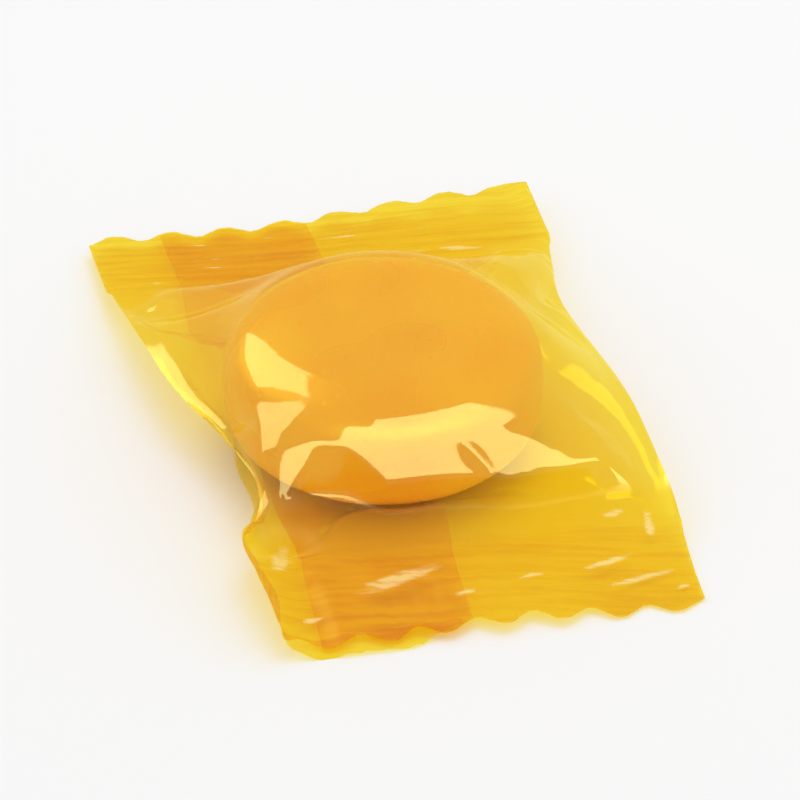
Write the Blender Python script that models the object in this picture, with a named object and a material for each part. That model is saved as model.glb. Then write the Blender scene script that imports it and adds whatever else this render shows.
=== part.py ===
"""Flow-wrapped boiled sweet: a round butterscotch drop in a clear pillow pack.

The pack is shut, so it is one solid: the outside of the film from one zigzag end seal
to the other, draped over the drop, with the long fin seal pressed flat underneath.
The pack lies on its back, +Z up, with its length along Y and its width along X. The
origin is the centre of its footprint, at the level that it rests on.
"""

import math

import bmesh
import bpy

MM = 0.001

# The film tube, pressed flat.
PACK_LENGTH = 57.8 * MM
PACK_WIDTH = 35.6 * MM
FILM_EDGE = 0.40 * MM

# The end seals: a crimped band with a zigzag cut. They droop towards the cut, are
# turned a little, and the front seal's left corner is folded up.
SEAL_DEPTH = 10.0 * MM
FRONT_LEVEL = 2.4 * MM
BACK_LEVEL = 2.6 * MM
SEAL_DROOP = math.radians(8.0)
FRONT_TURN = math.radians(-3.0)
BACK_TURN = math.radians(-2.0)
CORNER_WIDTH = 4.2 * MM
CORNER_LIFT = 3.0 * MM

# The waves of each seal: their height, number, phase and the rise towards the right.
FRONT_WAVE = (0.30 * MM, 4.2, 0.6, -0.5 * MM)
BACK_WAVE = (0.35 * MM, 3.6, -0.9, 0.3 * MM)

# The cut and the crimp ribs.
TOOTH_COUNT = 8
TOOTH_DEPTH = 1.4 * MM
CRIMP_RELIEF = 0.12 * MM

# The drop that holds the film up. It has slid towards the front left of the pack.
DROP_DIAMETER = 25.0 * MM
DROP_THICKNESS = 11.5 * MM
DROP_SQUARENESS = 3.3
DROP_X = -1.4 * MM
DROP_Y = -2.3 * MM
FILM_CLEARANCE = 0.20 * MM

# How the film runs from the drop's shoulder down to the seals: nearly straight to the
# near seal in front, and hollow to the far one behind.
SHOULDER_RADIUS = 8.6 * MM
FRONT_TENT_POWER = 1.6
SIDE_TENT_POWER = 1.7
BACK_TENT_POWER = 3.5
POCKET_ROUNDNESS = 10.0
DRAPE_SOFTNESS = 0.8 * MM
CROWN_SAG = 0.25 * MM
FOLD_COUNT = 13
FOLD_PHASE = 0.8
FOLD_RELIEF = 0.45 * MM

# The side creases: the left one is drawn in before the drop and the right one behind
# it, and both are lifted to the drop's half height.
LEFT_PULL = 4.4 * MM
LEFT_PULL_Y = -12.0 * MM
LEFT_PULL_LENGTH = 12.0 * MM
RIGHT_PULL = 1.6 * MM
RIGHT_PULL_Y = 6.0 * MM
RIGHT_PULL_LENGTH = 9.0 * MM
SIDE_LIFT = 2.8 * MM
SIDE_LIFT_LENGTH = 14.0 * MM
SIDE_LIFT_SPREAD = 3
RESTING_SHARE = 0.34
LEAST_LIFT = 0.03 * MM

# The fin seal: a folded double strip under the pack's left half.
FIN_ROOT_X = -0.2 * MM
FIN_WIDTH = 12.0 * MM
FIN_THICKNESS = 0.22 * MM

# The mesh: columns across, rows in each end seal and rows between the seals. The
# outermost rows of a seal carry the zigzag and the others its crimp ribs.
COLUMNS = 6 * TOOTH_COUNT
SEAL_ROWS = 14
TOOTH_ROWS = 2
RIB_ROWS = 3
POCKET_ROWS = 26
ROWS = 2 * SEAL_ROWS + POCKET_ROWS

FILM_COLOUR = (0.90, 0.50, 0.04, 1.0)
FILM_ROUGHNESS = 0.18


def clamp(value, low=0.0, high=1.0):
    """Keep a value between two limits."""
    return max(low, min(high, value))


def smoothstep(value):
    """Ease from 0 to 1 as value runs from 0 to 1."""
    t = clamp(value)
    return t * t * (3.0 - 2.0 * t)


def smooth_max(a, b, softness):
    """The larger of two heights, with the corner between them rounded."""
    return 0.5 * (a + b + math.hypot(a - b, softness))


def bump(value):
    """A bell curve of height 1 and unit spread."""
    return math.exp(-value * value)


def triangle_wave(turns):
    """A zigzag from -1 through +1 and back once a turn."""
    return 1.0 - 2.0 * abs(2.0 * (turns - math.floor(turns)) - 1.0)


def seal_edge():
    """Distance from the middle of the pack to the inner edge of an end seal."""
    return PACK_LENGTH / 2.0 - SEAL_DEPTH


def cut_line():
    """Distance from the middle of the pack to the middle of the zigzag."""
    return (PACK_LENGTH - TOOTH_DEPTH) / 2.0


def rows_from_end(row):
    """Number of mesh rows between a row and the nearer end of the pack."""
    return min(row, ROWS - row)


def row_distance(row):
    """Signed distance of a mesh row from the middle of the pack."""
    from_middle = row - ROWS / 2.0
    half_pocket = POCKET_ROWS / 2.0
    pocket_part = clamp(abs(from_middle) / half_pocket) * seal_edge()
    seal_part = clamp((abs(from_middle) - half_pocket) / SEAL_ROWS) * (cut_line() - seal_edge())
    return math.copysign(pocket_part + seal_part, from_middle)


def half_width(y, side):
    """Distance from the middle to the left crease, side -1, or the right one, side 1."""
    y = clamp(y, -seal_edge(), seal_edge())
    if side < 0.0:
        drawn = LEFT_PULL * bump((y - LEFT_PULL_Y) / LEFT_PULL_LENGTH)
    else:
        drawn = RIGHT_PULL * bump((y - RIGHT_PULL_Y) / RIGHT_PULL_LENGTH)
    return PACK_WIDTH / 2.0 - drawn


def corner_share(across, y):
    """How much a point of the front seal's left corner is folded up, 0 to 1."""
    start = 1.0 - 2.0 * CORNER_WIDTH / PACK_WIDTH
    in_seal = smoothstep((-y - seal_edge() + CORNER_WIDTH) / CORNER_WIDTH)
    return smoothstep((-across - start) / (1.0 - start)) * in_seal


def place_in_plan(across, row):
    """Plan position of the mesh point at across, -1 to 1, on a row."""
    y = row_distance(row)
    x = across * half_width(y, across)
    near_cut = clamp(1.0 - rows_from_end(row) / TOOTH_ROWS)
    tooth = triangle_wave((across + 1.0) / 2.0 * TOOTH_COUNT)
    turn = FRONT_TURN if y < 0.0 else BACK_TURN
    turned = x * math.tan(turn) * smoothstep(abs(y) / seal_edge())
    y += math.copysign(1.0, y) * near_cut * tooth * TOOTH_DEPTH / 2.0
    return x, y + turned


def seal_wave(across, y):
    """How far the nearer seal lies above its level: it is wavy, and rolled to one side."""
    height, waves, phase, roll = FRONT_WAVE if y < 0.0 else BACK_WAVE
    return height * math.sin(waves * across + phase) + roll * across


def sheet_level(x, y):
    """Mid level of the flat film: its end seals droop and its sides are lifted by the drop."""
    across = clamp(x / half_width(y, x), -1.0)
    share = smoothstep((y / seal_edge() + 1.0) / 2.0)
    level = FRONT_LEVEL + (BACK_LEVEL - FRONT_LEVEL) * share
    level -= max(abs(y) - seal_edge(), 0.0) * math.sin(SEAL_DROOP)
    beside_drop = bump(((y - DROP_Y) / SIDE_LIFT_LENGTH) ** 2)
    lift = SIDE_LIFT * beside_drop * abs(across) ** SIDE_LIFT_SPREAD
    return level + seal_wave(across, y) * smoothstep(abs(y) / seal_edge()) + lift


def crimp(row):
    """Height of the crimp ribs, which run across the pack on its end seals."""
    from_end = rows_from_end(row)
    if from_end <= TOOTH_ROWS or from_end >= SEAL_ROWS:
        return 0.0
    return CRIMP_RELIEF if from_end % RIB_ROWS == 0 else 0.0


def pocket_fraction(x, y):
    """How far a point lies from the drop's shoulder, 0, to the pocket's rim, 1."""
    dx = x - DROP_X
    dy = y - DROP_Y
    radius = math.hypot(dx, dy)
    if radius <= SHOULDER_RADIUS:
        return 0.0
    side = half_width(y, dx) - math.copysign(1.0, dx) * DROP_X
    end = seal_edge() - math.copysign(1.0, dy) * DROP_Y
    power = POCKET_ROUNDNESS
    reach = (abs(dx / radius / side) ** power + abs(dy / radius / end) ** power) ** (-1.0 / power)
    return clamp((radius - SHOULDER_RADIUS) / (reach - SHOULDER_RADIUS))


def tent_power(x, y):
    """How hollow the film hangs towards a point: least in front and most behind."""
    toward_back = (y - DROP_Y) / math.hypot(x - DROP_X, y - DROP_Y)
    end_power = BACK_TENT_POWER if toward_back > 0.0 else FRONT_TENT_POWER
    return SIDE_TENT_POWER + (end_power - SIDE_TENT_POWER) * toward_back ** 2


def drop_surface(x, y):
    """Height of the film where it touches the drop's rounded upper side."""
    radius = math.hypot(x - DROP_X, y - DROP_Y)
    share = radius / (DROP_DIAMETER / 2.0 + FILM_CLEARANCE)
    if share >= 1.0:
        return 0.0
    half = DROP_THICKNESS / 2.0 + FILM_CLEARANCE
    return half * (1.0 + (1.0 - share ** DROP_SQUARENESS) ** (1.0 / DROP_SQUARENESS))


def folds(x, y, fraction):
    """Relief of the folds that run from the drop out to the rim, deepest at the corners."""
    angle = math.atan2(y - DROP_Y, x - DROP_X)
    corner = abs(math.sin(2.0 * angle))
    band = 4.0 * fraction * (1.0 - fraction)
    return FOLD_RELIEF * band * corner * math.cos(FOLD_COUNT * angle + FOLD_PHASE)


def top_height(x, y, row):
    """Height of the upper film: it sags over the drop's dish and falls away outside it."""
    rim = sheet_level(x, y) + FILM_EDGE / 2.0 + crimp(row)
    fraction = pocket_fraction(x, y)
    crown = DROP_THICKNESS + 2.0 * FILM_CLEARANCE
    if fraction == 0.0:
        share = math.hypot(x - DROP_X, y - DROP_Y) / SHOULDER_RADIUS
        return crown - CROWN_SAG * (1.0 - share * share)
    power = tent_power(x, y)
    fall = (1.0 - fraction) ** power * (1.0 + power * fraction)
    tent = rim + (crown - rim) * fall + folds(x, y, fraction)
    softness = DRAPE_SOFTNESS * fraction * (1.0 - fraction)
    return smooth_max(tent, drop_surface(x, y), softness)


def bottom_height(x, y, row):
    """Height of the lower film, with the fin seal as the lowest band."""
    rim = sheet_level(x, y) - FILM_EDGE / 2.0 + crimp(row)
    fraction = pocket_fraction(x, y)
    height = rim * smoothstep((fraction - RESTING_SHARE) / (1.0 - RESTING_SHARE))
    if height < LEAST_LIFT:
        height = 0.0
    beside_fin = x > FIN_ROOT_X or x < FIN_ROOT_X - FIN_WIDTH
    return height + (FIN_THICKNESS if beside_fin else 0.0)


def build_pack_mesh():
    """Make the pack as a grid, thickened to a closed slab whose two faces are then shaped.

    Returns the new mesh, centred over the origin.
    """
    bm = bmesh.new()
    bmesh.ops.create_grid(bm, x_segments=COLUMNS, y_segments=ROWS, size=1.0)
    lower = list(bm.verts)
    raised = bmesh.ops.extrude_face_region(
        bm, geom=list(bm.faces) + list(bm.edges), use_keep_orig=True
    )["geom"]
    upper = [item for item in raised if isinstance(item, bmesh.types.BMVert)]
    for verts, height in ((lower, bottom_height), (upper, top_height)):
        for vert in verts:
            row = round((vert.co.y + 1.0) / 2.0 * ROWS)
            x, y = place_in_plan(vert.co.x, row)
            folded = CORNER_LIFT * corner_share(vert.co.x, row_distance(row))
            vert.co = (x, y, height(x, y, row) + folded)
    bmesh.ops.triangulate(bm, faces=list(bm.faces))
    bmesh.ops.recalc_face_normals(bm, faces=list(bm.faces))
    centre_over_origin(bm)
    mesh = bpy.data.meshes.new("wrapped_drop")
    bm.to_mesh(mesh)
    bm.free()
    return mesh


def centre_over_origin(bm):
    """Move the mesh so that its footprint is centred and its lowest point is at z = 0."""
    lows = [min(vert.co[axis] for vert in bm.verts) for axis in range(3)]
    highs = [max(vert.co[axis] for vert in bm.verts) for axis in range(3)]
    shift = (-(lows[0] + highs[0]) / 2.0, -(lows[1] + highs[1]) / 2.0, -lows[2])
    bmesh.ops.translate(bm, verts=list(bm.verts), vec=shift)


def film_material():
    """Clear lemon film over an amber drop, as one even finish."""
    material = bpy.data.materials.new("film_over_drop")
    material.use_nodes = True
    shader = material.node_tree.nodes["Principled BSDF"]
    shader.inputs["Base Color"].default_value = FILM_COLOUR
    shader.inputs["Roughness"].default_value = FILM_ROUGHNESS
    shader.inputs["Metallic"].default_value = 0.0
    return material


def main():
    """Clear the file and model the wrapped sweet."""
    for obj in list(bpy.data.objects):
        bpy.data.objects.remove(obj, do_unlink=True)
    collection = bpy.data.collections.new("wrapped_butterscotch")
    bpy.context.scene.collection.children.link(collection)
    mesh = build_pack_mesh()
    mesh.materials.append(film_material())
    mesh.shade_smooth()
    mesh.set_sharp_from_angle(angle=math.radians(40.0))
    collection.objects.link(bpy.data.objects.new("wrapper", mesh))


main()
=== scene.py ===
"""Looks of a wrapped butterscotch drop in its clear yellow pillow pack.

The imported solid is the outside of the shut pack. Here it is replaced by what it stands
for: the film tube, relaxed over the drop as the real sheet would be, the fin seal folded
under it, the lip where its lower sheet stands out at the front cut, and the amber drop
inside. The pack's sizes are in millimetres. Its meshes, the lamps and the camera are in
metres, in the frame's own axes.
"""

import logging
import math
from collections.abc import Iterator
from dataclasses import dataclass, replace
from enum import Enum

import bpy
import numpy as np
import numpy.typing as npt
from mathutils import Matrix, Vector


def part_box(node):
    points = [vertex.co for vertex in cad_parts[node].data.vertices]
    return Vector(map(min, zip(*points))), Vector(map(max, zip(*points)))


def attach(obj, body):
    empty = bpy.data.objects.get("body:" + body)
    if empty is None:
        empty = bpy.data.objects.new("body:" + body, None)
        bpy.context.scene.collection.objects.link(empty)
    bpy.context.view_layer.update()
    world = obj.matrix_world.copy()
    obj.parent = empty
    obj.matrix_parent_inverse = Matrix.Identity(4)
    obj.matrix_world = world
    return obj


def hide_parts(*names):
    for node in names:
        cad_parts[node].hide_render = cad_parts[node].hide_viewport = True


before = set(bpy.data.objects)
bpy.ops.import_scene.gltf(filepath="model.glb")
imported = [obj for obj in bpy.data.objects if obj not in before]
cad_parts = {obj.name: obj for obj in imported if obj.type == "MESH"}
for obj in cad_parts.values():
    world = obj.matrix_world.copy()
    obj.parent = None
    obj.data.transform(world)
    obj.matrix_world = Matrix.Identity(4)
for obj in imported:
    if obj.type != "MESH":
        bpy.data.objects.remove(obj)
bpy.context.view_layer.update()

LOG = logging.getLogger("wrapped_drop")
MM = 0.001
TINY = 1e-9
WELDED_SHARE = 0.62
SINGLE_SHARE = 0.5

Points = npt.NDArray[np.float32]
Socket = bpy.types.NodeSocket
Value = float | Socket
Pair = tuple[float, float]
Colour = tuple[float, float, float]


class Slot(Enum):
    """The record's material slots, whose names are logged with the new pieces."""

    FILM = "yellow_film"
    SUGAR = "butterscotch"


@dataclass(frozen=True)
class PackSizes:
    """Sizes of the pack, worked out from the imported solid's box where it shows them."""

    width: float
    length: float
    drop_thickness: float
    drop_diameter: float = 25.0
    drop_x: float = -1.2
    drop_y: float = -2.3
    seal_depth: float = 9.5
    tooth_count: int = 8
    tooth_depth: float = 1.15
    tooth_reach: float = 2.6
    tooth_steepness: float = 1.35
    tooth_tip: float = 0.8
    fin_root: float = -0.2
    fin_width: float = 12.0
    side_gather: float = 0.155
    under_gather: float = 0.16
    gather_from: float = 0.2
    film_gap: float = 0.07
    film_floor: float = 0.24
    drop_lift: float = 0.34
    seal_rows: float = 0.17
    seal_slack: float = 0.01
    seal_clearance: float = 0.1
    width_ease: float = 1.02
    length_ease: float = 1.12
    room_above: float = 0.5

    @classmethod
    def from_frame(cls, node: str) -> "PackSizes":
        """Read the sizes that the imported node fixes.

        Args:
            node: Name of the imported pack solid.

        Returns:
            The sizes of the flat film, a little more than the box because the film is
            drawn in as it climbs over the drop, and of the drop.
        """
        low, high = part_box(node)
        span = (high - low) / MM
        return cls(span.x * cls.width_ease, span.y * cls.length_ease, span.z - cls.room_above)

    @property
    def half_width(self) -> float:
        """Distance from the pack's middle to a side crease of the flat film."""
        return self.width / 2.0

    @property
    def drop_level(self) -> float:
        """Height of the drop's middle above the floor."""
        return self.drop_thickness / 2.0 + self.drop_lift

    @property
    def cut_line(self) -> float:
        """Distance from the pack's middle to the middle of the zigzag."""
        return (self.length - self.tooth_depth) / 2.0

    @property
    def pocket_half(self) -> float:
        """Distance from the pack's middle to the inner edge of a seal."""
        return self.cut_line - self.seal_depth


def smooth(value: npt.ArrayLike) -> npt.NDArray[np.float64]:
    """Ease from 0 to 1 as value runs from 0 to 1."""
    t = np.clip(value, 0.0, 1.0)
    return t * t * (3.0 - 2.0 * t)


@dataclass(frozen=True)
class SealPose:
    """How one end seal lies: its droop, turn, waves and a corner that is folded up."""

    reach: float
    level: float
    droop: float
    turn: float
    spread: float
    roll: float
    wave: float
    wave_turns: float
    wave_phase: float
    curl_side: int
    curl_width: float
    curl_angle: float
    curl_start: float
    inner_wave: float = 0.3

    def place(self, x: Points, y: Points, sizes: PackSizes) -> Points:
        """Lay the flat seal in its pose.

        Args:
            x: Flat positions across the pack.
            y: Flat positions along the pack.
            sizes: The pack's sizes.

        Returns:
            Three-dimensional positions, the first axis being X, Y and Z.
        """
        outward = np.abs(y) - sizes.pocket_half
        grown = smooth(outward / sizes.seal_depth)
        across = x / sizes.half_width
        droop = math.radians(self.droop)
        wave = self.wave * np.sin(self.wave_turns * across + self.wave_phase)
        level = self.level - outward * math.sin(droop)
        waved = self.inner_wave + (1.0 - self.inner_wave) * grown
        level = level + self.roll * across + wave * waved
        curled = self.curl_start + (1.0 - self.curl_start) * grown
        over = np.maximum(self.curl_side * x - sizes.half_width + self.curl_width * curled, 0.0)
        angle = math.radians(self.curl_angle) * curled
        placed_x = (x - self.curl_side * over * (1.0 - np.cos(angle))) * self.spread
        level = level + over * np.sin(angle)
        turn = math.radians(self.turn)
        middle = np.sign(y) * (self.reach + sizes.seal_depth / 2.0)
        along = np.sign(y) * (self.reach + outward * math.cos(droop)) - middle
        turned_x = placed_x * math.cos(turn) - along * math.sin(turn)
        turned_y = placed_x * math.sin(turn) + along * math.cos(turn) + middle
        level = np.maximum(level, sizes.film_floor + sizes.seal_clearance)
        return np.stack([turned_x, turned_y, level]).astype(np.float32)


@dataclass(frozen=True)
class Detail:
    """One level of detail of the film grid, from coarse to fine."""

    columns: int
    rows: int
    steps: int
    step_time: float
    stiffness: tuple[tuple[int, float], ...]
    crease_span: int


@dataclass(frozen=True)
class Link:
    """A family of equal links between film points, each point in at most one of them."""

    start: tuple[slice, slice]
    end: tuple[slice, slice]
    length: Points
    pull: float
    push: float


def chain(first: int, last: int, span: int) -> Iterator[tuple[slice, slice]]:
    """Split the pairs (i, i + span) from first to last into families without shared ends.

    Args:
        first: Lowest index.
        last: Highest index that a pair may end on.
        span: Index distance within a pair.

    Yields:
        Slices of the pairs' starts and of their ends.
    """
    for offset in range(2 * span):
        begin = first + offset
        count = len(range(begin, last - span + 1, 2 * span))
        if count:
            reach = 2 * span * (count - 1) + 1
            starts = slice(begin, begin + reach, 2 * span)
            yield starts, slice(starts.start + span, starts.stop + span, 2 * span)


class FilmGrid:
    """The film tube as a grid: columns run round it, rows along it.

    Columns 0 to half are the upper sheet from left to right, and the rest are the lower
    sheet back again. Both side creases belong to both sheets.
    """

    diagonal_pull: float = 0.6
    crease_push: float = 0.6

    def __init__(self, sizes: PackSizes, columns: int, rows: int) -> None:
        """Lay the grid out flat.

        Args:
            sizes: The pack's sizes.
            columns: Number of cells across one sheet.
            rows: Number of cells along the film.
        """
        self.half = columns
        self.round = 2 * columns
        self.rows = rows + 1
        column = np.arange(self.round)
        on_upper = column <= columns
        step = sizes.width / columns
        x = np.where(on_upper, column * step, (self.round - column) * step) - sizes.half_width
        share = np.linspace(0.0, 1.0, self.rows)
        stops = [0.0, sizes.seal_rows, 1.0 - sizes.seal_rows, 1.0]
        reach = [-sizes.cut_line, -sizes.pocket_half, sizes.pocket_half, sizes.cut_line]
        line = np.interp(share, stops, reach)[:, None]
        turns = (x / sizes.width + 0.5) * sizes.tooth_count
        tooth = 1.0 - 2.0 * np.abs(2.0 * (turns - np.floor(turns)) - 1.0)
        tooth = np.clip(tooth * sizes.tooth_steepness, -1.0, sizes.tooth_tip)
        near_cut = np.clip(1.0 - (sizes.cut_line - np.abs(line)) / sizes.tooth_reach, 0.0, 1.0)
        y = line + np.sign(line) * near_cut * tooth[None, :] * sizes.tooth_depth / 2.0
        self.x = np.broadcast_to(x[None, :], y.shape).astype(np.float32)
        self.y = y.astype(np.float32)
        self.upper = on_upper[None, :]
        self.sealed = np.abs(line) > sizes.pocket_half - sizes.seal_slack
        self.partner = (-column) % self.round
        side = smooth((np.abs(x) / sizes.width * 2.0 - sizes.gather_from) / (1.0 - sizes.gather_from))
        under = np.where(on_upper, 0.0, sizes.under_gather * (1.0 - side))
        gather = under + sizes.side_gather * side
        self.ease = np.where(self.sealed, 1.0, 1.0 - gather[None, :]).astype(np.float32)

    def away(self, place: Pair, reach: Pair) -> Points:
        """Distances from a place on the flat film, in shares of a reach across and along."""
        return np.hypot((self.x - place[0]) / reach[0], (self.y - place[1]) / reach[1])

    def distances(self, start: tuple[slice, slice], end: tuple[slice, slice]) -> Points:
        """Unstretched distances between two slices of the grid, shorter where the film is gathered."""
        along = (self.y[start] - self.y[end]) * (self.ease[start] + self.ease[end]) * 0.5
        return np.hypot(self.x[start] - self.x[end], along).astype(np.float32)

    def link(self, start: tuple[slice, slice], end: tuple[slice, slice], pull: float, push: float) -> Link:
        """A family of links with their flat lengths."""
        return Link(start, end, self.distances(start, end), pull, push)

    def weave(self) -> list[Link]:
        """Make the links that keep the film from stretching.

        Returns:
            The links round the film, along it and on both diagonals.
        """
        every = slice(None)
        links: list[Link] = []
        for a, b in chain(0, self.round - 1, 1):
            links.append(self.link((every, a), (every, b), 1.0, 1.0))
        seam, opening = slice(self.round - 1, self.round), slice(0, 1)
        last, first = slice(0, self.round - 1), slice(1, self.round)
        pull = self.diagonal_pull
        links.append(self.link((every, seam), (every, opening), 1.0, 1.0))
        for a, b in chain(0, self.rows - 1, 1):
            links.append(self.link((a, every), (b, every), 1.0, 1.0))
            for low, high in ((a, b), (b, a)):
                links.append(self.link((low, last), (high, first), pull, pull))
                links.append(self.link((low, seam), (high, opening), pull, pull))
        return links

    def stiffeners(self, span: int, push: float) -> list[Link]:
        """Make links that only push, and so resist bending.

        Args:
            span: Number of cells that a link spans.
            push: How strongly it pushes.

        Returns:
            The links, along the film and across both sheets.
        """
        every = slice(None)
        links = [self.link((a, every), (b, every), 0.0, push) for a, b in chain(0, self.rows - 1, span)]
        for first, last in ((0, self.half), (self.half, self.round - 1)):
            links += [self.link((every, a), (every, b), 0.0, push) for a, b in chain(first, last, span)]
        return links

    def crease_stiffeners(self, span: int) -> list[Link]:
        """Make the links that keep the two side creases nearly straight.

        Args:
            span: Number of cells that a link spans.

        Returns:
            The links, along the left crease and then the right one.
        """
        links: list[Link] = []
        for column in (0, self.half):
            here = slice(column, column + 1)
            for a, b in chain(0, self.rows - 1, span):
                links.append(self.link((a, here), (b, here), 0.0, self.crease_push))
        return links

    def refined(self, points: Points) -> Points:
        """Carry the points of a coarser grid over to this one.

        Args:
            points: The coarser grid's points.

        Returns:
            This grid's points, on straight lines between the coarser ones.
        """
        _, rows, columns = points.shape
        row = np.linspace(0.0, rows - 1.0, self.rows)
        low = np.clip(np.floor(row).astype(int), 0, rows - 2)
        part = (row - low)[None, :, None]
        stretched = points[:, low] * (1.0 - part) + points[:, low + 1] * part
        column = np.arange(self.round) * columns / self.round
        left = np.floor(column).astype(int)
        share = (column - left)[None, None, :]
        right = (left + 1) % columns
        return (stretched[:, :, left] * (1.0 - share) + stretched[:, :, right] * share).astype(np.float32)


@dataclass(frozen=True)
class CreaseLine:
    """Where a side crease runs: drawn in towards the drop, and lifted by the film round it."""

    drawn: float
    drawn_at: float
    drawn_length: float
    lift: float
    lift_length: float = 15.0
    width_share: float = 0.985

    def path(self, line: Points, sizes: PackSizes, level: float) -> tuple[Points, Points]:
        """Lay the crease along the pack.

        Args:
            line: Positions of the crease's points along the pack.
            sizes: The pack's sizes.
            level: Height of the seals that the crease runs between.

        Returns:
            The crease's distances from the pack's middle and its heights.
        """
        drawn = self.drawn * np.exp(-(((line - self.drawn_at) / self.drawn_length) ** 2))
        lift = self.lift * np.exp(-(((line - sizes.drop_y) / self.lift_length) ** 4))
        aside = sizes.half_width * self.width_share - drawn
        return aside.astype(np.float32), (level + lift).astype(np.float32)


@dataclass(frozen=True)
class Fold:
    """One place on a pleat: where it lies on the flat film, its ridge and its hollow."""

    x: float
    y: float
    ridge: float
    hollow: float


@dataclass(frozen=True)
class Pleat:
    """A crease pressed across the upper sheet: a ridge, and a hollow between it and the seal.

    It runs across the pack through its folds, and fades out towards the first and the
    last. It reaches inward from the ridge by a distance, and the hollow lies at a share of
    the way from the ridge to the front seal.
    """

    folds: tuple[Fold, ...]
    inward: float
    hollow_share: float

    def relief(self, x: Points, y: Points, seal: float) -> Points:
        """Work out how far the pleat moves the film.

        Args:
            x: Flat positions across the pack.
            y: Flat positions along the pack.
            seal: Flat position of the seal's inner edge.

        Returns:
            Heights along the film's normals, 0 away from the pleat.
        """
        places = [fold.x for fold in self.folds]
        line = np.interp(x, places, [fold.y for fold in self.folds])
        ridge = np.interp(x, places, [fold.ridge for fold in self.folds], left=0.0, right=0.0)
        hollow = np.interp(x, places, [fold.hollow for fold in self.folds], left=0.0, right=0.0)
        away = np.where(y > line, (line - y) / self.inward, (line - y) / (line - seal))
        stops = [-1.0, 0.0, self.hollow_share, 1.0]
        up = np.interp(away, stops, [0.0, 1.0, 0.0, 0.0])
        down = np.interp(away, stops, [0.0, 0.0, 1.0, 0.0])
        return (ridge * up - hollow * down).astype(np.float32)


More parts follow.
